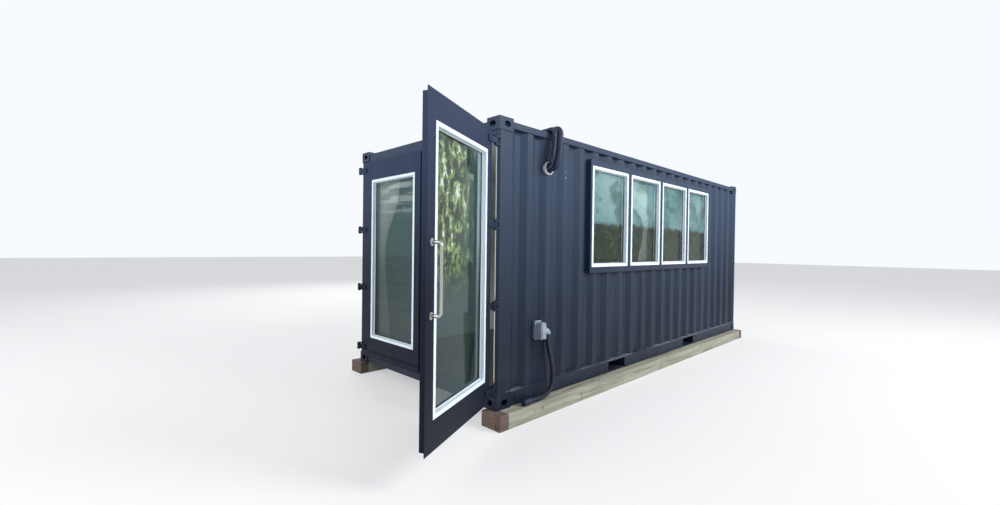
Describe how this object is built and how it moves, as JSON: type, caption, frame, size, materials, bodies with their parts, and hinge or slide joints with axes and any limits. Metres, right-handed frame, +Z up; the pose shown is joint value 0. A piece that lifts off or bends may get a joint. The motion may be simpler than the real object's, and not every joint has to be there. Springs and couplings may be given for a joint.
{
  "type": "shipping container cabin",
  "caption": "Steel container cabin on timber bearers, with corrugated walls, a window row, and two glazed steel doors that swing back at the end.",
  "frame": {"origin": "on the ground plane under the plan centre of the container", "axes": "+X along the container from the door end to the far end, +Y from the windowed wall to the other wall, +Z up"},
  "size_m": [7.2139, 3.0587, 2.784],
  "materials": {
    "timber": "weathered sawn timber",
    "block": "weathered reddish timber",
    "navy_steel": "satin dark navy paint",
    "white_frame": "white window profile",
    "pane": "reflective green tinted glass",
    "lining_board": "pale painted board",
    "floor_wood": "oiled plywood floor",
    "satin_metal": "satin metal",
    "grey_plastic": "grey moulded plastic",
    "dark_hose": "dark flexible cover",
    "white_plastic": "white moulded plastic",
    "cloth": "thin white curtain cloth"
  },
  "bodies": {
    "cabin": {"bearers": "timber", "corner_blocks": "block", "bottom_corner_fittings": "navy_steel", "top_corner_fittings": "navy_steel", "door_posts": "navy_steel", "end_posts": "navy_steel", "door_header": "navy_steel", "door_sill": "navy_steel", "end_rail_top": "navy_steel", "end_rail_bottom": "navy_steel", "top_rails": "navy_steel", "bottom_rails": "navy_steel", "wall_right_door_end": "navy_steel", "wall_right_below_windows": "navy_steel", "wall_right_above_windows": "navy_steel", "wall_right_far_end": "navy_steel", "wall_left": "navy_steel", "wall_far_end": "navy_steel", "roof_panel": "navy_steel", "roof_end_plates": "navy_steel", "floor_boards": "floor_wood", "floor_crossmembers": "navy_steel", "fork_pockets": "navy_steel", "lining_right": "lining_board", "lining_left": "lining_board", "lining_far_end": "lining_board", "ceiling": "lining_board", "door_jambs": "lining_board", "window_surround": "navy_steel", "window_frames": "white_frame", "window_glass": "pane", "hinge_lugs_right": "navy_steel", "hinge_lugs_left": "navy_steel", "power_inlet": "grey_plastic", "conduit": "dark_hose", "conduit_connector": "grey_plastic", "wall_sleeve": "white_plastic", "roof_pipes": "dark_hose", "roof_boot": "grey_plastic", "window_curtain_rod": "satin_metal", "window_curtain": "cloth"},
    "right_leaf": {"right_leaf_panel": "navy_steel", "right_leaf_window_frame": "white_frame", "right_leaf_glass": "pane", "right_leaf_hinges": "navy_steel", "pull_handle": "satin_metal"},
    "left_leaf": {"left_leaf_panel": "navy_steel", "left_leaf_window_frame": "white_frame", "left_leaf_glass": "pane", "left_leaf_hinges": "navy_steel", "leaf_curtain_rod": "satin_metal", "leaf_curtain": "cloth"}
  },
  "joints": [
    {"name": "right_leaf_hinge", "type": "hinge", "parent": "cabin", "child": "right_leaf", "pos_m": [-3.061, -1.208, 0], "axis": [0, 0, 1], "range_deg": [-115, 140]},
    {"name": "left_leaf_hinge", "type": "hinge", "parent": "cabin", "child": "left_leaf", "pos_m": [-3.061, 1.208, 0], "axis": [0, 0, 1], "range_deg": [-255, 0]}
  ]
}
